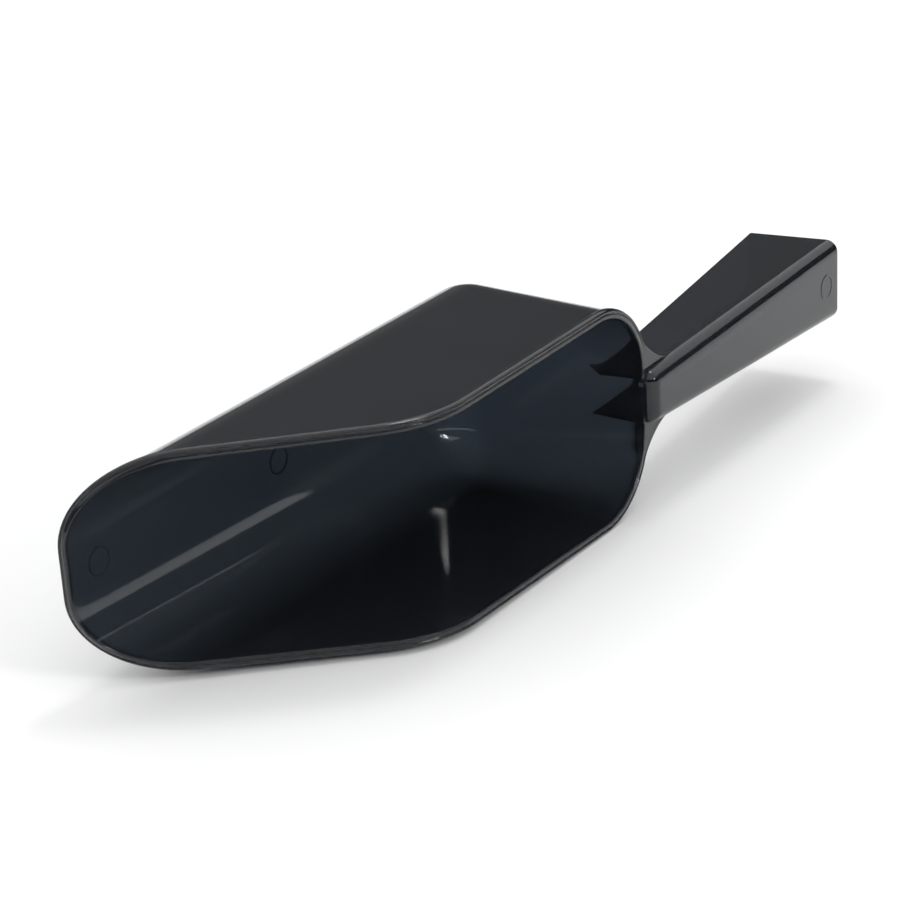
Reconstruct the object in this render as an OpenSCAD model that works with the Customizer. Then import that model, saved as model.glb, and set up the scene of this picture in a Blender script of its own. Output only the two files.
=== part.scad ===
// Hand scoop: a deep U-shaped bowl with a slanting mouth and a channel-section handle.
// It lies on one side wall, with its opening towards -Y and its handle towards +X.

/* [Bowl] */
// Length from the back rim to the front lip
bowl_len = 190; // [150:1:230]
// Outside width across the side walls at the back
bowl_w = 72.4; // [66:0.1:90]
// Outside width across the side walls at the lip
mouth_w = 65; // [58:1:90]
// Height of the rim above the underside of the floor at the back
bowl_h = 76.6; // [72:0.1:78]
// Extra height of the rim where it bends down to the mouth
rim_rise = 1.5; // [0:0.1:4]
// Distance from the back rim to the corner where the rim turns down
bend_at = 118.5; // [100:0.5:140]
// Radius of that corner
bend_r = 38; // [10:1:50]
// Thickness of the floor and walls
wall_t = 2.2; // [1.5:0.1:3]
// Radius between the floor and the side walls
floor_r = 25; // [10:0.5:25]
// Radius between the floor and the back wall
back_r = 18; // [8:0.5:20]
// Radius of the two back corners at the rim, seen from the opening
corner_r = 27; // [26.5:0.5:32]
// Radius of the same corners near the floor
corner_low_r = 17; // [15:0.5:20]
// Lean of the side walls, in degrees
side_draft = 0.2; // [0:0.1:1]
// Lean of the back wall, in degrees
back_draft = 2.8; // [0:0.1:4]

/* [Rim] */
// How far the bead stands out of the wall
bead_out = 0.8; // [0.4:0.1:1.5]
// Height of the bead along the wall
bead_h = 2.6; // [2:0.1:5]
// Radius of the bead's outer edge
bead_r = 1.3; // [0.6:0.1:1.8]

/* [Handle] */
// Distance from the back rim to the far end
handle_len = 130.5; // [100:0.5:140]
// Half of the width where the handle leaves the bowl
near_half_w = 8.9; // [8:0.1:12]
// Half of the width at the far end
far_half_w = 14.6; // [10:0.1:18]
// Height of the broad face where the handle leaves the bowl
near_top = 80.7; // [79:0.1:84]
// Height of the broad face at the far end
far_top = 79.8; // [76:0.1:84]
// Height of the free edges where the handle leaves the bowl
near_edge = 60; // [50:0.1:62]
// Height of the free edges at the far end
far_edge = 45.6; // [40:0.1:60]
// Radius of the handle's long edges
edge_r = 4.3; // [2:0.1:4.5]
// Thickness of the handle's broad face, sides and end
handle_t = 3; // [2.5:0.1:4]
// Radius of the flare between the rim and the handle
flare_r = 22; // [18:1:24]
// Thickness of the flared gussets
gusset_t = 4; // [2:0.1:6]
// Radius inside the channel, between its sides and the broad face
channel_r = 5; // [1:0.5:5.5]
// Radius of the edges around the far end
end_r = 1.2; // [0.8:0.1:3]
// How far the nose stands in past the back wall's inner face
nose_proud = 0.2; // [0.1:0.05:0.5]
// Lean of the far end wall and taper of the handle's sides, in degrees
handle_draft = 1.8; // [0:0.1:3]

/* [Witness marks] */
// Outer diameter of each witness ring
mark_d = 9; // [6:0.5:12]
// Width of each ring's line
mark_line = 0.7; // [0.4:0.1:1.5]
// Height of each ring
mark_h = 0.2; // [0.1:0.05:0.4]
// Distance of the front ring from the lip
mark_from_lip = 13; // [10:1:20]
// Distance of the middle ring from the lip
mark_from_lip_middle = 95; // [80:1:110]
// Distance of the handle's ring from its far end
mark_from_end = 9.5; // [8:0.5:15]

/* [Hidden] */
$fn = 64;

smoke = "#2a2e33";
smoke_light = "#4a4e55";

// Steps along each part of the bowl's grid
side_steps = 14;
corner_steps = 10;
arc_steps = 9;
wall_steps = 3;
bend_steps = 6;
last_row = arc_steps + wall_steps + bend_steps;
last_column = side_steps + corner_steps;

half_w = bowl_w / 2;
narrowing = (mouth_w - bowl_w) / 2 / bowl_len;
rising = rim_rise / bowl_h / bend_at;

// The mouth's slanting edge, and where the bend's arc meets it and the rim
mouth_angle = atan(bowl_h / (bowl_len - bend_at));
bend_reach = bend_r * tan(mouth_angle / 2);
bend_start = bend_at - bend_reach;
bend_low = bowl_h - bend_reach * sin(mouth_angle);

function mix(a, b, s) = a + (b - a) * s;
function unit(v) = v / norm(v);

// How far forward the mouth's edge is at a given height
function mouth_edge(z) = z < bend_low
    ? bowl_len - z / tan(mouth_angle)
    : bend_start + sqrt(max(0, bend_r ^ 2 - (z - bowl_h + bend_r) ^ 2));

// Bottom radius and lean of the wall facing a given way: 0 is sideways and 90 is backwards
function low_r(a) = mix(floor_r, back_r, sin(a) ^ 2);
function lean(a) = mix(side_draft, back_draft, sin(a) ^ 2);

// How far the bottom arc's centre is inside the rim's outline
function arc_in(a) = (bowl_h - low_r(a)) * tan(lean(a)) + low_r(a) / cos(lean(a));

// One point of the wall's profile, as [distance inside the rim's outline, height]
function arc_point(a, turn, t) = [
    arc_in(a) - (low_r(a) - t) * sin(turn),
    low_r(a) - (low_r(a) - t) * cos(turn)
];
function wall_point(a, z, t) = [(bowl_h - z) * tan(lean(a)) + t / cos(lean(a)), z];
function row_point(a, row, t) =
    let (bottom = arc_point(a, 90 - lean(a), t))
    row <= arc_steps ? arc_point(a, (90 - lean(a)) * row / arc_steps, t)
    : row <= arc_steps + wall_steps
    ? wall_point(a, mix(bottom[1], bend_low, (row - arc_steps) / wall_steps), t)
    : wall_point(a, bowl_h - bend_r * (1 - cos(mouth_angle * (last_row - row) / bend_steps)), t);

// The larger of two sizes, with a smooth change from one to the other
blend = 2;
function smooth_max(a, b) = (a + b + norm([a - b, blend])) / 2;

// Radius of the back corner at a row: it shrinks towards the floor, and stays wider than the bottom arc
corner_spare = 1.5;
function corner_at(a, row) =
    let (inner = row_point(a, row, wall_t), outer = row_point(a, row, 0))
    smooth_max(mix(corner_low_r, corner_r, outer[1] / bowl_h), inner[0] + corner_spare);

// A point of one half of the bowl: columns run from the mouth to the middle of the back
function tray_point(column, row, t) =
    let (
        a = max(0, column - side_steps) * 90 / corner_steps,
        p = row_point(a, row, t),
        front = mouth_edge(row_point(a, row, 0)[1]),
        r = corner_at(a, row)
    )
    column <= side_steps
    ? [mix(front, r, column / side_steps), half_w - p[0], p[1]]
    : [r - (r - p[0]) * sin(a), half_w - r + (r - p[0]) * cos(a), p[1]];

// The walls close in and the rim rises evenly towards the mouth
flat_half_w = half_w - arc_in(0);
function shaped(p) = [
    -p[0],
    p[1] + narrowing * p[0] * min(1, p[1] / flat_half_w),
    p[2] * (1 + rising * p[0])
];

// Both halves together: columns 0 to last_column on one side, and back again on the other
function bowl_point(column, row, t) = column <= last_column
    ? shaped(tray_point(column, row, t))
    : let (p = shaped(tray_point(2 * last_column + 1 - column, row, t))) [p[0], -p[1], p[2]];

function two_triangles(a, b, c, d) = [[a, b, c], [a, c, d]];

// A closed shell from the outer skin to the inner skin, over a block of columns and rows
module shell(first_column, end_column, first_row, end_row) {
    columns = end_column - first_column;
    rows = end_row - first_row;
    layer = (columns + 1) * (rows + 1);
    points = [
        for (t = [0, wall_t], column = [first_column:end_column], row = [first_row:end_row])
            bowl_point(column, row, t)
    ];
    function at(column, row) = column * (rows + 1) + row;
    faces = [
        for (c = [0:columns - 1], r = [0:rows - 1]) each concat(
            two_triangles(at(c, r), at(c + 1, r), at(c + 1, r + 1), at(c, r + 1)),
            two_triangles(
                layer + at(c, r + 1), layer + at(c + 1, r + 1), layer + at(c + 1, r), layer + at(c, r)
            )
        ),
        for (c = [0:columns - 1]) each concat(
            two_triangles(at(c + 1, 0), at(c, 0), layer + at(c, 0), layer + at(c + 1, 0)),
            two_triangles(
                at(c, rows), at(c + 1, rows), layer + at(c + 1, rows), layer + at(c, rows)
            )
        ),
        for (r = [0:rows - 1]) each concat(
            two_triangles(at(0, r), at(0, r + 1), layer + at(0, r + 1), layer + at(0, r)),
            two_triangles(
                at(columns, r + 1), at(columns, r), layer + at(columns, r), layer + at(columns, r + 1)
            )
        )
    ];
    polyhedron(points, faces, convexity = 6);
}

// The design stands on its floor; here it is laid on its side, centred over the origin
widest = half_w + narrowing * corner_at(0, last_row) + bead_out;
module laid_down() {
    translate([(bowl_len - handle_len) / 2, (near_top - bead_out) / 2, widest])
        rotate([90, 0, 0])
            children();
}

module bowl_floor() {
    count = 2 * last_column + 2;
    points = [for (t = [0, wall_t], column = [0:count - 1]) bowl_point(column, 0, t)];
    function across(i) = count - 1 - i;
    faces = [
        for (i = [0:last_column - 1]) each concat(
            two_triangles(i, i + 1, across(i + 1), across(i)),
            two_triangles(
                count + across(i), count + across(i + 1), count + i + 1, count + i
            )
        ),
        for (i = [0:count - 1])
            let (next = (i + 1) % count) each two_triangles(next, i, count + i, count + next)
    ];
    color(smoke) laid_down() polyhedron(points, faces, convexity = 4);
}

module side_wall_upper() {
    color(smoke) laid_down() shell(0, side_steps, 0, last_row);
}

module side_wall_lower() {
    color(smoke) laid_down() mirror([0, 1, 0]) shell(0, side_steps, 0, last_row);
}

module back_wall() {
    color(smoke) laid_down() shell(side_steps, 2 * last_column + 1 - side_steps, 0, last_row);
}

// Half width, top and free edge of the handle at a distance from the back rim
function side_at(x) = mix(near_half_w, far_half_w, x / handle_len);
function top_at(x) = mix(near_top, far_top, x / handle_len);
function edge_at(x) = mix(near_edge, far_edge, x / handle_len);

// Centre of the flare's arc, which touches the rim's corner and the side of the handle
corner_across = half_w - corner_r;
flare_reach = corner_r + bead_out + flare_r;
function flare_along_for(across) = sqrt(flare_reach ^ 2 - (across - corner_across) ^ 2) - corner_r;
flare_across = side_at(flare_along_for(near_half_w + flare_r)) + flare_r;
flare_along = flare_along_for(flare_across);
flare_turn = atan2(flare_along + corner_r, flare_across - corner_across);
bead_columns = floor(flare_turn * corner_steps / 90);

// The free rim's outer edge on one half, as [point, outward direction], from the middle of the lip
rim_path = concat(
    [[[bowl_len, 0, 0], [0, 0, -1]]],
    [
        for (row = [0:last_row])
            let (turn = min(row / arc_steps, 1) * (90 - side_draft))
            [tray_point(0, row, 0), [0, sin(turn), -cos(turn)]]
    ],
    [
        for (column = [1:side_steps + bead_columns])
            let (a = max(0, column - side_steps) * 90 / corner_steps, l = lean(a))
            [tray_point(column, last_row, 0), [-sin(a) * cos(l), cos(a) * cos(l), -sin(l)]]
    ]
);

// The bead's outline, as [distance out of the wall, distance down the wall]
bead_outline = concat(
    [for (turn = [0:30:90]) [bead_out * sin(turn), bead_r * (1 - cos(turn))]],
    [[bead_out, bead_h - bead_out / 2], [0, bead_h]]
);

// A solid through rings of points, all with the same number of points
module loft(rings, convexity = 2) {
    count = len(rings[0]);
    faces = concat(
        [[for (j = [0:count - 1]) j]],
        [[for (j = [count - 1:-1:0]) (len(rings) - 1) * count + j]],
        [
            for (i = [0:len(rings) - 2], j = [0:count - 1])
                let (next = (j + 1) % count)
                each two_triangles(
                    i * count + next, i * count + j, (i + 1) * count + j, (i + 1) * count + next
                )
        ]
    );
    polyhedron([for (ring = rings) each ring], faces, convexity);
}

// The bead's outline at one place on the rim
function bead_ring(i, side) =
    let (
        last = len(rim_path) - 1,
        p = rim_path[i],
        before = i == 0 ? p[0] - [0, 1, 0] : rim_path[i - 1][0],
        along = unit(rim_path[min(i + 1, last)][0] - before),
        down = unit(cross(along, p[1]))
    )
    [
        for (q = bead_outline)
            let (s = shaped(p[0] + p[1] * q[0] + down * q[1])) [s[0], side * s[1], s[2]]
    ];

module rim_bead() {
    last = len(rim_path) - 1;
    rings = concat(
        [for (i = [last:-1:1]) bead_ring(i, -1)],
        [for (i = [0:last]) bead_ring(i, 1)]
    );
    color(smoke_light) laid_down() loft(rings, 10);
}

// Everything inside the outer skin at the back of the bowl
module bowl_back_block() {
    hull() shell(side_steps, 2 * last_column + 1 - side_steps, 0, last_row);
}

// A flat shape seen from the side, made as wide as anything here
module side_view(points) {
    rotate([90, 0, 0])
        linear_extrude(4 * far_half_w, center = true)
            polygon(points);
}

// Points along an arc
function arc(centre, r, from, to) = [
    for (turn = [0:8]) centre + r * [cos(mix(from, to, turn / 8)), sin(mix(from, to, turn / 8))]
];

// A section across the handle: two long rounded edges above, two square ones below
function handle_ring(x, half, top, bottom, r) =
    let (low_half = half - (top - bottom) * tan(handle_draft))
    [
        for (
            p = concat(
                [[low_half, bottom]],
                arc([half - r, top - r], r, 0, 90),
                arc([r - half, top - r], r, 90, 180),
                [[-low_half, bottom]]
            )
        )
            [x, p[0], p[1]]
    ];

nose_x = -wall_t - nose_proud;
nose_r = near_top - bowl_h;
channel_end = handle_len - handle_t;
below = far_edge / 2;
beyond = 2 * handle_len;

// The handle's outside, with its channel filled in
module handle_outside() {
    intersection() {
        loft([
            for (x = [-corner_r, beyond])
                handle_ring(x, side_at(x), top_at(x), edge_at(x), edge_r)
        ]);
        side_view(concat(
            [[nose_x, below]],
            arc([nose_x + nose_r, near_top - nose_r], nose_r, 180, 90),
            arc([handle_len - end_r, far_top - end_r], end_r, 90, 0),
            [[handle_len - (far_top - below) * tan(handle_draft), below]]
        ));
        linear_extrude(2 * near_top)
            polygon(concat(
                [[-corner_r, -2 * far_half_w]],
                [[handle_len / 2, -2 * far_half_w]],
                arc([handle_len - end_r, end_r - far_half_w], end_r, -90, 0),
                arc([handle_len - end_r, far_half_w - end_r], end_r, 0, 90),
                [[handle_len / 2, 2 * far_half_w]],
                [[-corner_r, 2 * far_half_w]]
            ));
    }
}

// A section across one long side of the handle, from its free edge up to the broad face
function flange_ring(x) =
    let (
        half = side_at(x),
        top = top_at(x),
        bottom = edge_at(x),
        low_half = half - (top - bottom) * tan(handle_draft),
        ceiling = top - handle_t
    )
    [
        for (
            p = concat(
                [[low_half, bottom]],
                arc([half - edge_r, top - edge_r], edge_r, 0, asin(1 - handle_t / edge_r)),
                arc([half - handle_t - channel_r, ceiling - channel_r], channel_r, 90, 0),
                [[low_half - handle_t, bottom]]
            )
        )
            [x, p[0], p[1]]
    ];

// Where the handle's broad face is, and where its nose is
module web_zone() {
    side_view([
        [0, top_at(0) - handle_t],
        [beyond, top_at(beyond) - handle_t],
        [beyond, 2 * near_top],
        [0, 2 * near_top]
    ]);
}
module nose_zone() {
    side_view([[-corner_r, bowl_h], [0, bowl_h], [0, 2 * near_top], [-corner_r, 2 * near_top]]);
}

module handle_web() {
    color(smoke_light) laid_down() intersection() {
        handle_outside();
        web_zone();
    }
}

module handle_nose() {
    color(smoke_light) laid_down() difference() {
        intersection() {
            handle_outside();
            nose_zone();
        }
        bowl_back_block();
    }
}

// One long side of the handle; turned over, it is the other one
module handle_flange() {
    difference() {
        loft([for (x = [-back_r, channel_end]) flange_ring(x)]);
        nose_zone();
        bowl_back_block();
    }
}

module handle_flange_upper() {
    color(smoke_light) laid_down() handle_flange();
}

module handle_flange_lower() {
    color(smoke_light) laid_down() mirror([0, 1, 0]) handle_flange();
}

module handle_end_wall() {
    color(smoke_light) laid_down() difference() {
        intersection() {
            handle_outside();
            translate([channel_end, -2 * far_half_w, 0])
                cube([2 * handle_t, 4 * far_half_w, 2 * near_top]);
        }
        web_zone();
    }
}

// A flat plate under the rim's plane, between the corner of the bowl and the side of the handle
module gusset() {
    difference() {
        translate([0, 0, bowl_h - gusset_t])
            linear_extrude(gusset_t)
                difference() {
                    polygon([
                        [-corner_r, 0],
                        [flare_along, 0],
                        [flare_along, flare_across],
                        [-corner_r, corner_across]
                    ]);
                    translate([flare_along, flare_across]) circle(flare_r);
                }
        bowl_back_block();
        handle_outside();
    }
}

module gusset_upper() {
    color(smoke_light) laid_down() gusset();
}

module gusset_lower() {
    color(smoke_light) laid_down() mirror([0, 1, 0]) gusset();
}

module mark_ring() {
    linear_extrude(mark_h)
        difference() {
            circle(d = mark_d);
            circle(d = mark_d - 2 * mark_line);
        }
}

module floor_mark(from_lip) {
    along = bowl_len - from_lip;
    color(smoke_light) laid_down()
        translate([-along, 0, wall_t * (1 + rising * along)])
            mark_ring();
}

module floor_mark_front() {
    floor_mark(mark_from_lip);
}

module floor_mark_middle() {
    floor_mark(mark_from_lip_middle);
}

module web_mark() {
    along = handle_len - mark_from_end;
    color(smoke_light) laid_down()
        translate([along, 0, top_at(along)])
            rotate([0, atan((near_top - far_top) / handle_len), 0])
                mark_ring();
}

bowl_floor();
side_wall_upper();
side_wall_lower();
back_wall();
rim_bead();
gusset_upper();
gusset_lower();
handle_web();
handle_nose();
handle_flange_upper();
handle_flange_lower();
handle_end_wall();
floor_mark_front();
floor_mark_middle();
web_mark();
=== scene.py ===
"""Looks of the hand scoop: one glossy smoke-grey moulding that lies on its side wall.

The shape functions use the design's own axes, in millimetres: x runs from the bowl's back rim along the
handle, y across the scoop, and z up from the underside of its floor. A distance forward is -x. to_row()
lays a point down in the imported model's frame, in metres.
"""

import math

import bmesh
import bpy
from mathutils import Matrix, Vector


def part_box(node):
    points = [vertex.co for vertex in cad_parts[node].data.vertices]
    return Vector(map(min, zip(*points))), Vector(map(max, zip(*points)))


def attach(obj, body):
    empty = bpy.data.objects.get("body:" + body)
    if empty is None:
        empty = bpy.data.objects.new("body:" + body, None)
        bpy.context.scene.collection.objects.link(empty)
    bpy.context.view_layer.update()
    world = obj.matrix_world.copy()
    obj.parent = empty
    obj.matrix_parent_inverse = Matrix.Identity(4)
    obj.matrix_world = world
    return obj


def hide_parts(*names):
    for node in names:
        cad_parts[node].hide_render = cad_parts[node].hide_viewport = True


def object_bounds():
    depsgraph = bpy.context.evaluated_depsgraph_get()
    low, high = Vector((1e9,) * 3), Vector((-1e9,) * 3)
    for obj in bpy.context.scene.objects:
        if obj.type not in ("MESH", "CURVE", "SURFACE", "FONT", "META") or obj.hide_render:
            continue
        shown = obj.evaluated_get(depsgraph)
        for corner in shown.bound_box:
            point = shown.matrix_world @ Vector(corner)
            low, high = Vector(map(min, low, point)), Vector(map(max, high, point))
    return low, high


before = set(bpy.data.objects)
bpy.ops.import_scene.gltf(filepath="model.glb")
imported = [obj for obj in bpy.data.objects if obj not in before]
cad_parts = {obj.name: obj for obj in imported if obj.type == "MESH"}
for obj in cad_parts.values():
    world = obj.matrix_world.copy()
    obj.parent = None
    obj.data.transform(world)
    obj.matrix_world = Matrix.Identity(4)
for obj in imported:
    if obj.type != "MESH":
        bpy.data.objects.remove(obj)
cad_box = [list(corner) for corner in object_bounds()]

# ---------------------------------------------------------------- driving sizes of the bowl
BOWL_LEN = 190.0
BOWL_W = 72.4
MOUTH_W = 65.0
BOWL_H = 76.6
RIM_RISE = 1.5
BEND_AT = 118.5
BEND_R = 38.0
WALL_T = 2.2
FLOOR_R = 25.0
BACK_R = 18.0
# The back corners, seen from the opening: at the rim, near the floor, and what is left beside the bottom arc
CORNER_R = 27.0
LOW_CORNER_R = 17.0
CORNER_SPARE = 1.5
CORNER_BLEND = 2.0
SIDE_DRAFT = math.radians(0.2)
BACK_DRAFT = math.radians(2.8)

# The rim: a flat face inside, a groove, a round bead outside, and a small step down to the wall
INNER_EDGE_R = 0.35
FACE_W = 1.25
GROOVE_W = 0.2
GROOVE_DEEP = 0.3
BEAD_OUT = 0.8
BEAD_H = 2.4
BEAD_ROUNDING = 1.3
BEAD_CORNER_R = 0.4
STEP_OUT = 0.3
STEP_H = 0.8
# Shares of the step's height where it starts to slope and where it turns, and how far out it is there
STEP_SHOULDER = 0.6
STEP_TURN = 0.9
STEP_TURN_OUT = 0.7

# ---------------------------------------------------------------- driving sizes of the handle
HANDLE_LEN = 130.5
NEAR_HALF_W = 8.9
FAR_HALF_W = 14.6
NEAR_TOP = 80.7
FAR_TOP = 79.8
NEAR_EDGE = 60.0
FAR_EDGE = 45.6
EDGE_R = 4.3
HANDLE_T = 3.0
CHANNEL_R = 5.0
CHANNEL_CORNER_R = 5.5
END_EDGE_R = 1.2
HANDLE_DRAFT = math.radians(1.8)
FREE_EDGE_R = 0.6
NOSE_CORNER_R = 3.5
NOSE_PROUD = 0.2
FLARE_R = 22.0
FLARE_INTO_HANDLE = 0.5
GUSSET_T = 4.0
GUSSET_STARTS = 0.6
GUSSET_GROWS = 4.0
GUSSET_EDGE_R = 0.6
GUSSET_FILLET = 1.8
ROOT_R = 4.0
# How far the handle's near end is sunk into the bowl's back wall
SUNK = 0.3

# ---------------------------------------------------------------- mesh density
SIDE_STEPS = 84
CORNER_STEPS = 44
ACROSS_STEPS = 3
ARC_STEPS = 26
WALL_STEPS = 10
BEND_STEPS = 18
NOSE_STEPS = 10
GRIP_STEPS = 44
ROUND_STEPS = 10
END_STEPS = 5
INNER_EDGE_STEPS = 4
SMALL_STEPS = 3
GUSSET_FACE_STEPS = 4
GRIP_WALL_STEPS = 6
FREE_EDGE_STEPS = 4

MM = 0.001
HALF_W = BOWL_W / 2
CORNER_Y = HALF_W - CORNER_R
NARROWING = (MOUTH_W - BOWL_W) / 2 / BOWL_LEN
RISING = RIM_RISE / BOWL_H / BEND_AT
MOUTH_ANGLE = math.atan(BOWL_H / (BOWL_LEN - BEND_AT))
BEND_START = BEND_AT - BEND_R * math.tan(MOUTH_ANGLE / 2)

# The design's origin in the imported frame: the back rim, the floor's underside and the middle plane
floor_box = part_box("bowl_floor")
ORIGIN = Vector((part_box("handle_web")[0].x, floor_box[1].y, (floor_box[0].z + floor_box[1].z) / 2))


def to_row(p):
    return ORIGIN + Vector((p[0], -p[2], p[1])) * MM


def mix(a, b, share):
    return a + (b - a) * share


def mix_points(p, q, share):
    return [mix(a, b, share) for a, b in zip(p, q)]


def ease(share):
    share = min(max(share, 0.0), 1.0)
    return share * share * (3 - 2 * share)


def shares(steps):
    return [i / steps for i in range(steps + 1)]


# ---------------------------------------------------------------- meshes from grids of points
class Grids:
    """Quads from grids of design points. Grids that share a border are joined along it at the end."""

    def __init__(self):
        self.mesh = bmesh.new()

    def add(self, lines, flip=False):
        """lines is a list of equally long lists of points."""
        made = [[self.mesh.verts.new(to_row(p)) for p in line] for line in lines]
        for first, second in zip(made, made[1:]):
            for i in range(len(first) - 1):
                quad = [first[i], first[i + 1], second[i + 1], second[i]]
                self.mesh.faces.new(reversed(quad) if flip else quad)

    def add_both_halves(self, lines, flip=False):
        self.add(lines, flip)
        self.add([[[p[0], -p[1], p[2]] for p in line] for line in lines], not flip)

    def finish(self, name):
        """The closed mesh as a smooth object, with flat faces kept flat beside their small radii."""
        joined = 0.002 * MM
        bmesh.ops.remove_doubles(self.mesh, verts=self.mesh.verts, dist=joined)
        bmesh.ops.dissolve_degenerate(self.mesh, edges=self.mesh.edges, dist=joined)
        bmesh.ops.recalc_face_normals(self.mesh, faces=self.mesh.faces)
        data = bpy.data.meshes.new(name)
        self.mesh.to_mesh(data)
        self.mesh.free()
        data.shade_smooth()
        made = bpy.data.objects.new(name, data)
        bpy.context.scene.collection.objects.link(made)
        flat = made.modifiers.new("flat_faces", "WEIGHTED_NORMAL")
        flat.keep_sharp = True
        flat.weight = 80
        return made


# ---------------------------------------------------------------- the bowl's surface
def low_r(a):
    """Radius between the floor and the wall that faces a: 0 is sideways, a right angle is backwards."""
    return mix(FLOOR_R, BACK_R, math.sin(a) ** 2)


def lean(a):
    return mix(SIDE_DRAFT, BACK_DRAFT, math.sin(a) ** 2)


def facing(column):
    kind, share = column
    return {"side": 0.0, "corner": share * math.pi / 2, "back": math.pi / 2}[kind]


def wall_profile(row, a, out, inset):
    """[distance inside the rim's outline, height, distance forward of the mouth's edge] at a row of the
    wall. out is the distance outside the outer skin, and inset the distance from the rim's face."""
    kind, share = row
    r = low_r(a)
    tilt = lean(a)
    upright = math.pi / 2 - tilt
    if kind == "arc":
        turn = upright * share
        inside = (BOWL_H - r) * math.tan(tilt) + r / math.cos(tilt) - (r + out) * math.sin(turn)
        height = r - (r + out) * math.cos(turn)
        edge_height = r - r * math.cos(turn)
    else:
        turn = upright
        bend = MOUTH_ANGLE * (1 - share) if kind == "bend" else MOUTH_ANGLE
        height = BOWL_H - BEND_R + (BEND_R - inset) * math.cos(bend)
        if kind == "wall":
            height = mix(r - r * math.sin(tilt), height, share)
        inside = (BOWL_H - height) * math.tan(tilt) - out / math.cos(tilt)
        edge_height = height
    if kind == "bend":
        return inside, height, BEND_START + (BEND_R - inset) * math.sin(bend)
    across_edge = math.hypot(1, math.sin(turn) / math.tan(MOUTH_ANGLE))
    return inside, height, BOWL_LEN - edge_height / math.tan(MOUTH_ANGLE) - inset * across_edge


def corner_at(row, a, inset):
    """Radius of the back corner at a row: it shrinks towards the floor."""
    height = wall_profile(row, a, 0.0, inset)[1]
    wide = mix(LOW_CORNER_R, CORNER_R, height / BOWL_H)
    least = wall_profile(row, a, -WALL_T, inset)[0] + CORNER_SPARE
    return (wide + least + math.hypot(wide - least, CORNER_BLEND)) / 2


FLAT_HALF_W = HALF_W - wall_profile(("arc", 0.0), 0.0, 0.0, 0.0)[0]


def bowl_point(column, row, out, inset):
    """A point of the half with y above 0, with the bowl's taper and rise."""
    kind, share = column
    a = facing(column)
    inside, height, front = wall_profile(row, a, out, inset)
    r = corner_at(row, a, inset)
    if kind == "side":
        forward = mix(front, r, share)
        y = HALF_W - inside
    elif kind == "corner":
        forward = r - (r - inside) * math.sin(a)
        y = HALF_W - r + (r - inside) * math.cos(a)
    else:
        forward = inside
        y = HALF_W - r
    y += NARROWING * forward * min(1.0, y / FLAT_HALF_W)
    if kind == "back":
        y *= 1 - share
    return [-forward, y, height * (1 + RISING * forward)]


ROWS = [("arc", s) for s in shares(ARC_STEPS)]
ROWS += [("wall", s) for s in shares(WALL_STEPS)[1:]]
ROWS += [("bend", s) for s in shares(BEND_STEPS)[1:]]
COLUMNS = [("side", s) for s in shares(SIDE_STEPS)[:-1]]
COLUMNS += [("corner", s) for s in shares(CORNER_STEPS)]
COLUMNS += [("back", s) for s in shares(ACROSS_STEPS)[1:]]
FLOOR_ROW = ROWS[0]
TOP_ROW = ROWS[-1]


# ---------------------------------------------------------------- the rim and its flare to the handle
def side_at(x):
    return mix(NEAR_HALF_W, FAR_HALF_W, x / HANDLE_LEN)


def top_at(x):
    return mix(NEAR_TOP, FAR_TOP, x / HANDLE_LEN)


def edge_at(x):
    return mix(NEAR_EDGE, FAR_EDGE, x / HANDLE_LEN)


def flare_x_for(y):
    """Where the flare's arc has its centre along the handle, so that it touches the bead's corner."""
    return math.sqrt((CORNER_R + BEAD_OUT + FLARE_R) ** 2 - (y - CORNER_Y) ** 2) - CORNER_R


FLARE_Y = side_at(flare_x_for(NEAR_HALF_W + FLARE_R)) + FLARE_R
FLARE_X = flare_x_for(FLARE_Y)
FLARE_TURN = math.atan2(FLARE_X + CORNER_R, FLARE_Y - CORNER_Y)


def flare_point(a, away, down):
    """A point of the gusset's free side, for the column that faces a."""
    share = (a - FLARE_TURN) / (math.pi / 2 - FLARE_TURN)
    turn = FLARE_TURN * (1 - share)
    r = FLARE_R + away
    sunk = FLARE_INTO_HANDLE * ease(share * 4 - 3)
    return [FLARE_X - r * math.sin(turn), FLARE_Y - r * math.cos(turn) - sunk, BOWL_H - down]


def arc_points(centre, r_out, r_down, steps, start=0.0, end=math.pi / 2):
    """[out, down] along an arc that runs from the top (0) to the outside (a right angle)."""
    turns = [mix(start, end, s) for s in shares(steps)]
    return [[centre[0] + r_out * math.sin(t), centre[1] - r_down * math.cos(t)] for t in turns]


def rim_outline():
    """The rim's section as [out, down] from the inner skin over the bead to the outer skin."""
    face_in = -WALL_T + INNER_EDGE_R
    face_out = -WALL_T + FACE_W
    bead_in = face_out + GROOVE_W
    crest = (bead_in + BEAD_OUT) / 2
    bead_r = BEAD_OUT - crest
    inner_edge = arc_points(
        [face_in, INNER_EDGE_R], -INNER_EDGE_R, INNER_EDGE_R, INNER_EDGE_STEPS, math.pi / 2, 0.0,
    )
    groove = [[face_out, 0.0], [face_out + GROOVE_W / 2, GROOVE_DEEP]]
    half_steps = ROUND_STEPS // 2
    bead = arc_points([crest, bead_r], bead_r, bead_r, half_steps, -math.pi / 3, 0.0)
    bead += arc_points([crest, BEAD_ROUNDING], bead_r, BEAD_ROUNDING, half_steps)[1:]
    low_corner = arc_points(
        [BEAD_OUT - BEAD_CORNER_R, BEAD_H - BEAD_CORNER_R],
        BEAD_CORNER_R, -BEAD_CORNER_R, SMALL_STEPS, math.pi / 2, 0.0,
    )
    step = [
        [STEP_OUT, BEAD_H],
        [STEP_OUT, BEAD_H + STEP_H * STEP_SHOULDER],
        [STEP_OUT * STEP_TURN_OUT, BEAD_H + STEP_H * STEP_TURN],
        [0.0, BEAD_H + STEP_H],
    ]
    return inner_edge + groove + bead + low_corner + step


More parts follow.
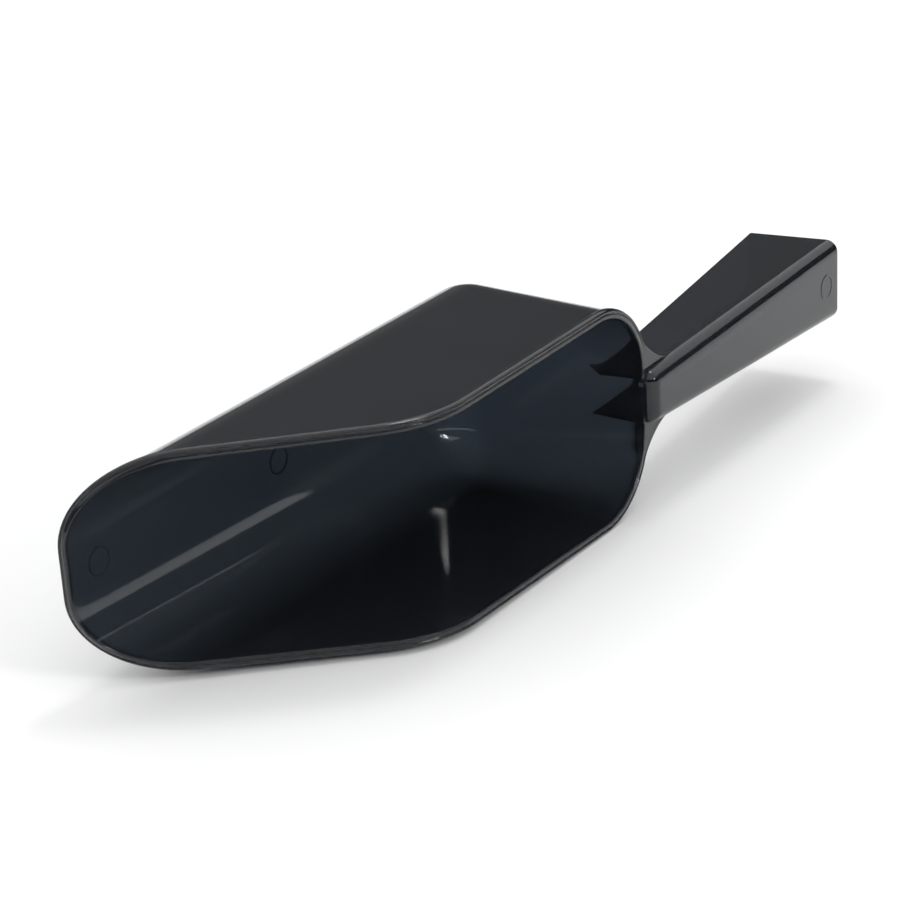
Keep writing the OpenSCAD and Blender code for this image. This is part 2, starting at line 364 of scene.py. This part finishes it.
RIM = rim_outline()
RIM_DEEP = RIM[-1][1]
GUSSET_DEEP = GUSSET_T + GUSSET_FILLET
# Points of the rim's section over its inner edge and face, and points over its bead
INNER_COUNT = INNER_EDGE_STEPS + 2
BEAD_COUNT = ROUND_STEPS + 1


def gusset_outline(column):
    """The rim's section where it is a gusset: as many points as the plain rim has, in the same order."""
    a = facing(column)
    points = [bowl_point(column, TOP_ROW, out, down) for out, down in RIM[:INNER_COUNT]]
    plain = bowl_point(column, TOP_ROW, 0.0, 0.0)
    face_end = flare_point(a, GUSSET_EDGE_R, 0.0)
    points.append(bowl_point(column, TOP_ROW, RIM[INNER_COUNT][0], 0.0))
    over_face = BEAD_COUNT - GUSSET_FACE_STEPS - 1
    points += [mix_points(plain, face_end, i / over_face) for i in range(over_face)]
    for s in shares(GUSSET_FACE_STEPS):
        turn = s * math.pi / 2
        away = GUSSET_EDGE_R * (1 - math.sin(turn))
        points.append(flare_point(a, away, GUSSET_EDGE_R * (1 - math.cos(turn))))
    for s in shares(SMALL_STEPS):
        turn = s * math.pi / 2
        down = GUSSET_T - GUSSET_EDGE_R * (1 - math.sin(turn))
        points.append(flare_point(a, GUSSET_EDGE_R * (1 - math.cos(turn)), down))
    for s in shares(SMALL_STEPS):
        turn = s * math.pi / 2
        out = GUSSET_FILLET * (1 - math.sin(turn))
        down = GUSSET_T + GUSSET_FILLET * (1 - math.cos(turn))
        points.append(bowl_point(column, TOP_ROW, out, down))
    return points


def covered_outline(column):
    """The rim's section under the handle's near end, where it has no bead."""
    points = [bowl_point(column, TOP_ROW, out, down) for out, down in RIM[:INNER_COUNT]]
    on_face = BEAD_COUNT + 1
    groove_out = RIM[INNER_COUNT][0]
    points += [bowl_point(column, TOP_ROW, mix(groove_out, 0.0, i / on_face), 0.0) for i in range(on_face)]
    below = len(RIM) - len(points)
    points += [bowl_point(column, TOP_ROW, 0.0, GUSSET_DEEP * i / (below - 1)) for i in range(below)]
    return points


def gusset_share(column):
    """0 on the plain rim and 1 where the gusset is fully formed."""
    a = facing(column)
    if a <= FLARE_TURN:
        return 0.0
    plain = bowl_point(column, TOP_ROW, BEAD_OUT, 0.0)
    free = flare_point(a, 0.0, 0.0)
    return ease((math.dist(plain, free) - GUSSET_STARTS) / GUSSET_GROWS)


def outer_inset(column):
    return mix(RIM_DEEP, GUSSET_DEEP, gusset_share(column))


def rim_section(column, row):
    plain = [bowl_point(column, row, out, down) for out, down in RIM]
    if column[0] == "back":
        return covered_outline(column)
    share = gusset_share(column)
    if share == 0.0:
        return plain
    return [mix_points(p, q, share) for p, q in zip(plain, gusset_outline(column))]


def build_bowl():
    grids = Grids()
    to_back_corner = COLUMNS[: SIDE_STEPS + CORNER_STEPS + 1]
    for out, inset_of in ((0.0, outer_inset), (-WALL_T, lambda column: INNER_EDGE_R)):
        inwards = out < 0
        walls = [[bowl_point(c, r, out, inset_of(c)) for r in ROWS] for c in COLUMNS]
        grids.add_both_halves(walls, flip=inwards)
        strips = []
        for column in to_back_corner:
            end = bowl_point(column, FLOOR_ROW, out, inset_of(column))
            strips.append([[end[0], end[1] * s, end[2]] for s in shares(ACROSS_STEPS)])
        grids.add_both_halves(strips, flip=inwards)
    lip = rim_section(COLUMNS[0], FLOOR_ROW)
    sections = [[[p[0], p[1] * s, p[2]] for p in lip] for s in shares(ACROSS_STEPS)]
    sections += [rim_section(COLUMNS[0], row) for row in ROWS[1:]]
    sections += [rim_section(column, TOP_ROW) for column in COLUMNS[1:]]
    grids.add_both_halves(sections)
    return grids.finish("bowl_moulding")


# ---------------------------------------------------------------- the handle
NOSE_X = -WALL_T - NOSE_PROUD
NOSE_R = NEAR_TOP - BOWL_H
HIDDEN_TOP = BOWL_H - SUNK
WALL_MIDDLE = -1.3
# How far the channel's near end is sunk at the rim, and how sharply the lean grows towards the far end
CHANNEL_SUNK = 0.05
LEAN_POWER = 4

GRIP_COLUMNS = [("nose", s) for s in shares(NOSE_STEPS)[:-1]]
GRIP_COLUMNS += [("side", s) for s in shares(GRIP_STEPS)[:-1]]
GRIP_COLUMNS += [("corner", s) for s in shares(END_STEPS)]
GRIP_ROWS = [("arc", s) for s in shares(ROUND_STEPS)]
GRIP_ROWS += [("wall", s) for s in shares(GRIP_WALL_STEPS)[1:]]


def outside_point(column, row):
    """A point of the handle's outside, on the half with y above 0: columns run along the handle."""
    kind, share = column
    row_kind, row_share = row
    end_start = HANDLE_LEN - END_EDGE_R
    edge_r = EDGE_R
    rounded = 0.0
    shrunk = 0.0
    if kind == "nose":
        turn = share * math.pi / 2
        x = NOSE_X + NOSE_R * (1 - math.cos(turn))
        top = BOWL_H + NOSE_R * math.sin(turn)
        edge_r = min(EDGE_R, top - BOWL_H)
        corner = max(0.0, NOSE_CORNER_R - (x - NOSE_X))
        rounded = NOSE_CORNER_R - math.sqrt(NOSE_CORNER_R ** 2 - corner ** 2)
    else:
        x = mix(NOSE_X + NOSE_R, end_start, share)
        if kind == "corner":
            turn = share * math.pi / 2
            x = end_start + END_EDGE_R * math.sin(turn)
            shrunk = END_EDGE_R * (1 - math.cos(turn))
        top = top_at(x)
    bottom = HIDDEN_TOP
    if x > WALL_MIDDLE:
        bottom = edge_at(x) + FREE_EDGE_R
        bottom -= ROOT_R * (1 - math.sqrt(1 - max(0.0, 1 - max(x, 0.0) / ROOT_R) ** 2))
    high = top - edge_r
    if row_kind == "arc":
        turn = row_share * math.pi / 2
        inward = edge_r - (edge_r - shrunk) * math.sin(turn)
        z = high + (edge_r - shrunk) * math.cos(turn)
    else:
        inward = shrunk + (high - bottom) * math.tan(HANDLE_DRAFT) * row_share
        z = mix(high, bottom, row_share)
        rounded = 0.0
    leaning = (top - z) * math.tan(HANDLE_DRAFT) * max(0.0, x / HANDLE_LEN) ** LEAN_POWER
    return [x - leaning, side_at(x) - rounded - inward, z]


def outside_end(row):
    """The last line of the handle's outside, from which its flat end is filled."""
    return outside_point(GRIP_COLUMNS[-1], row)


def channel_point(column, row):
    """A point of the channel under the handle, on the half with y above 0."""
    kind, share = column
    row_kind, row_share = row
    corner_x = HANDLE_LEN - HANDLE_T - CHANNEL_CORNER_R
    corner_y = FAR_HALF_W - HANDLE_T - CHANNEL_CORNER_R
    near = kind == "nose"
    along = mix(0.0, corner_x, share) if kind == "side" else (0.0 if near else HANDLE_LEN)
    bottom = edge_at(along) + FREE_EDGE_R
    turn = row_share * math.pi / 2
    high = top_at(along) - HANDLE_T - CHANNEL_R
    if row_kind == "arc":
        inward = CHANNEL_R * (1 - math.sin(turn))
        z = top_at(along) - HANDLE_T - CHANNEL_R * (1 - math.cos(turn))
    else:
        inward = (high - bottom) * math.tan(HANDLE_DRAFT) * row_share
        z = mix(high, bottom, row_share)
    if kind in ("nose", "side"):
        x = along
        y = side_at(along) - HANDLE_T - inward
    elif kind == "corner":
        a = share * math.pi / 2
        x = corner_x + (CHANNEL_CORNER_R - inward) * math.sin(a)
        y = corner_y + (CHANNEL_CORNER_R - inward) * math.cos(a)
    else:
        x, y = HANDLE_LEN - HANDLE_T - inward, corner_y * (1 - share)
    if near:
        z = min(z, HIDDEN_TOP)
    if near or (kind == "side" and share == 0.0):
        x = -CHANNEL_SUNK - max(0.0, HIDDEN_TOP - z) * (-WALL_MIDDLE / (BOWL_H - NEAR_EDGE))
    return [x, y, z]


def half_lines(points):
    """Each point's line across to the middle plane."""
    return [[[p[0], p[1] * (1 - s), p[2]] for s in shares(ACROSS_STEPS)] for p in points]


def free_edge(outer, inner):
    """The rounded edge between the outside's last row and the channel's last row."""
    if abs(outer[2] - inner[2]) > 2 * FREE_EDGE_R:
        return [mix_points(outer, inner, s) for s in shares(2 * FREE_EDGE_STEPS + 1)]
    width = math.dist(outer, inner)
    r = min(FREE_EDGE_R, width / 2)
    line = []
    for s in shares(FREE_EDGE_STEPS):
        turn = s * math.pi / 2
        p = mix_points(outer, inner, r * (1 - math.cos(turn)) / width)
        line.append([p[0], p[1], p[2] - r * math.sin(turn)])
    mirrored = []
    for s in shares(FREE_EDGE_STEPS):
        turn = s * math.pi / 2
        p = mix_points(inner, outer, r * (1 - math.cos(turn)) / width)
        mirrored.append([p[0], p[1], p[2] - r * math.sin(turn)])
    return line + mirrored[::-1]


def build_handle():
    grids = Grids()
    channel_end = [("end", s) for s in shares(ACROSS_STEPS)[1:]]
    channel_columns = GRIP_COLUMNS + channel_end
    first, last = GRIP_ROWS[0], GRIP_ROWS[-1]
    grids.add_both_halves([[outside_point(c, r) for r in GRIP_ROWS] for c in GRIP_COLUMNS])
    grids.add_both_halves(half_lines([outside_point(c, first) for c in GRIP_COLUMNS]))
    grids.add_both_halves(half_lines([outside_end(r) for r in GRIP_ROWS]))
    grids.add_both_halves([[channel_point(c, r) for r in GRIP_ROWS] for c in channel_columns])
    grids.add_both_halves(half_lines([channel_point(c, first) for c in GRIP_COLUMNS]))
    outer_edge = [outside_point(c, last) for c in GRIP_COLUMNS] + half_lines([outside_end(last)])[0][1:]
    inner_edge = [channel_point(c, last) for c in channel_columns]
    edge = [free_edge(p, q) for p, q in zip(outer_edge, inner_edge)]
    grids.add_both_halves(edge)
    near = GRIP_COLUMNS[0]
    across = len(edge[0]) - 1
    cap = [
        [mix_points(outside_point(near, r), channel_point(near, r), s) for s in shares(across)]
        for r in GRIP_ROWS
    ]
    grids.add_both_halves(cap)
    grids.add_both_halves(half_lines(cap[0]))
    return grids.finish("handle_moulding")


bowl = build_bowl()
handle = build_handle()


# ---------------------------------------------------------------- materials
# The tint inside the plastic, and the faint grey haze of its skin
SMOKE = (0.606, 0.622, 0.633)
SMOKE_DENSITY = 3600
HAZE = (0.52, 0.60, 0.72)
CLEAR_SHARE = 0.98
# Waves and grain per metre, and how deep they are in metres
WAVE_SCALE = 45.0
WAVE_DEPTH = 0.00005
GRAIN_SCALE = 1400.0
GRAIN_DEPTH = 0.0000012
PATCH_SCALE = 30.0
DUST_SCALE = 900.0
GLOSS_SMOOTH = 0.05
GLOSS_RUBBED = 0.10
DUST_ROUGHNESS = 0.15
# Where the patches and the dust begin and end in their noise
PATCH_RANGE = (0.3, 0.7)
DUST_RANGE = (0.68, 0.76)


def noise(nodes, place, scale, detail):
    made = nodes.new("ShaderNodeTexNoise")
    made.inputs["Scale"].default_value = scale
    made.inputs["Detail"].default_value = detail
    nodes.id_data.links.new(place.outputs["Object"], made.inputs["Vector"])
    return made


def ranged(nodes, value, low, high, least, most):
    """value between low and high, as a size between least and most."""
    made = nodes.new("ShaderNodeMapRange")
    made.inputs["From Min"].default_value = low
    made.inputs["From Max"].default_value = high
    made.inputs["To Min"].default_value = least
    made.inputs["To Max"].default_value = most
    nodes.id_data.links.new(value, made.inputs["Value"])
    return made.outputs["Result"]


def bumped(nodes, height, distance, normal=None):
    made = nodes.new("ShaderNodeBump")
    made.inputs["Strength"].default_value = 1.0
    made.inputs["Distance"].default_value = distance
    nodes.id_data.links.new(height, made.inputs["Height"])
    if normal is not None:
        nodes.id_data.links.new(normal, made.inputs["Normal"])
    return made.outputs["Normal"]


def smoke_plastic(name):
    """Clear plastic tinted a cold smoke grey: one wall lets little light through, and a thick place none.
    Its gloss is broken by slow moulding waves, a fine grain, rubbed patches and a little dust."""
    material = bpy.data.materials.new(name)
    material.use_nodes = True
    nodes = material.node_tree.nodes
    links = material.node_tree.links
    nodes.clear()
    place = nodes.new("ShaderNodeTexCoord")
    waves = noise(nodes, place, WAVE_SCALE, 1.0)
    grain = noise(nodes, place, GRAIN_SCALE, 3.0)
    patches = noise(nodes, place, PATCH_SCALE, 5.0)
    dust = noise(nodes, place, DUST_SCALE, 2.0)
    relief = bumped(nodes, waves.outputs["Fac"], WAVE_DEPTH)
    relief = bumped(nodes, grain.outputs["Fac"], GRAIN_DEPTH, relief)
    surface = nodes.new("ShaderNodeBsdfPrincipled")
    surface.inputs["Base Color"].default_value = (*HAZE, 1)
    surface.inputs["Transmission Weight"].default_value = CLEAR_SHARE
    surface.inputs["IOR"].default_value = 1.5
    links.new(relief, surface.inputs["Normal"])
    gloss = ranged(nodes, patches.outputs["Fac"], *PATCH_RANGE, GLOSS_SMOOTH, GLOSS_RUBBED)
    specks = ranged(nodes, dust.outputs["Fac"], *DUST_RANGE, 0.0, DUST_ROUGHNESS)
    roughness = nodes.new("ShaderNodeMath")
    roughness.operation = "ADD"
    links.new(gloss, roughness.inputs[0])
    links.new(specks, roughness.inputs[1])
    links.new(roughness.outputs["Value"], surface.inputs["Roughness"])
    volume = nodes.new("ShaderNodeVolumeAbsorption")
    volume.inputs["Color"].default_value = (*SMOKE, 1)
    volume.inputs["Density"].default_value = SMOKE_DENSITY
    output = nodes.new("ShaderNodeOutputMaterial")
    links.new(surface.outputs["BSDF"], output.inputs["Surface"])
    links.new(volume.outputs["Volume"], output.inputs["Volume"])
    return material


BOWL_NODES = [
    "bowl_floor", "side_wall_upper", "side_wall_lower", "back_wall", "rim_bead",
    "gusset_upper", "gusset_lower",
]
HANDLE_NODES = [
    "handle_web", "handle_nose", "handle_flange_upper", "handle_flange_lower", "handle_end_wall",
]

plastic = smoke_plastic("smoke_plastic_look")
for piece, stood_for in (
    (bowl, BOWL_NODES),
    (handle, HANDLE_NODES),
):
    piece.data.materials.append(plastic)
    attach(piece, "root")
    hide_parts(*stood_for)

for name in ("floor_mark_front", "floor_mark_middle", "web_mark"):
    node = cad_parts[name]
    node.data.materials.clear()
    node.data.materials.append(plastic)


# ---------------------------------------------------------------- floor, light and camera
FLOOR_HALF = 60.0
FLOOR_GAP = 0.0001
# Strength of the studio in front of the scoop, and behind the underside of its floor
STUDIO_DARK = 0.03
STUDIO_LIGHT = 0.22
CAMERA_POSITION = (-0.612, -0.4145, 0.322)
CAMERA_TARGET = (-0.0070, 0.0150, 0.0225)
CAMERA_ROLL = math.radians(-3.5)
CAMERA_LENS = 100.4
CAMERA_NEAR = 0.01
SUN_STRENGTH = 2.7
SUN_ANGLE = math.radians(130)


def stage_material(name, colour):
    material = bpy.data.materials.new(name)
    material.use_nodes = True
    surface = material.node_tree.nodes["Principled BSDF"]
    surface.inputs["Base Color"].default_value = (*colour, 1)
    surface.inputs["Roughness"].default_value = 0.9
    surface.inputs["Specular IOR Level"].default_value = 0.0
    return material


floor_mesh = bmesh.new()
bmesh.ops.create_grid(floor_mesh, x_segments=2, y_segments=2, size=FLOOR_HALF)
floor_data = bpy.data.meshes.new("studio_floor")
floor_mesh.to_mesh(floor_data)
floor_mesh.free()
floor = bpy.data.objects.new("studio_floor", floor_data)
floor.location.z = cad_box[0][2] - FLOOR_GAP
floor.data.materials.append(stage_material("studio_white", (0.95, 0.95, 0.95)))
bpy.context.scene.collection.objects.link(floor)


def build_world():
    """A dim studio, lighter on the side of the underside of the bowl's floor."""
    world = bpy.data.worlds.new("studio_world")
    world.use_nodes = True
    nodes = world.node_tree.nodes
    links = world.node_tree.links
    direction = nodes.new("ShaderNodeTexCoord")
    split = nodes.new("ShaderNodeSeparateXYZ")
    across = nodes.new("ShaderNodeMapRange")
    across.interpolation_type = "SMOOTHSTEP"
    across.inputs["From Min"].default_value = 0.0
    across.inputs["From Max"].default_value = 0.8
    across.inputs["To Min"].default_value = STUDIO_DARK
    across.inputs["To Max"].default_value = STUDIO_LIGHT
    links.new(direction.outputs["Generated"], split.inputs["Vector"])
    links.new(split.outputs["Y"], across.inputs["Value"])
    links.new(across.outputs["Result"], nodes["Background"].inputs["Strength"])
    nodes["Background"].inputs["Color"].default_value = (0.97, 0.98, 1.0, 1)
    bpy.context.scene.world = world


build_world()

sun = bpy.data.objects.new("overhead_scrim", bpy.data.lights.new("overhead_scrim", "SUN"))
sun.data.energy = SUN_STRENGTH
sun.data.angle = SUN_ANGLE
bpy.context.scene.collection.objects.link(sun)


def softbox(name, position, target, size, power):
    light = bpy.data.lights.new(name, "AREA")
    light.shape = "RECTANGLE"
    light.size, light.size_y = size
    light.energy = power
    lamp = bpy.data.objects.new(name, light)
    lamp.location = position
    lamp.rotation_euler = (Vector(target) - Vector(position)).to_track_quat("-Z", "Y").to_euler()
    bpy.context.scene.collection.objects.link(lamp)


softbox("front_softbox", (-0.10, -1.20, 0.64), (0.03, -0.02, 0.03), (0.34, 0.22), 4.5)
softbox("top_softbox", (0.50, 0.05, 1.40), (-0.04, -0.02, 0.06), (0.30, 0.30), 3.2)

camera = bpy.data.objects.new("camera", bpy.data.cameras.new("camera"))
camera.data.lens = CAMERA_LENS
camera.data.clip_start = CAMERA_NEAR
camera.location = CAMERA_POSITION
looking = (Vector(CAMERA_TARGET) - camera.location).to_track_quat("-Z", "Y").to_matrix()
camera.rotation_euler = (looking @ Matrix.Rotation(CAMERA_ROLL, 3, "Z")).to_euler()
bpy.context.scene.collection.objects.link(camera)
bpy.context.scene.camera = camera
bpy.context.scene.view_settings.view_transform = "Standard"

bpy.context.view_layer.update()
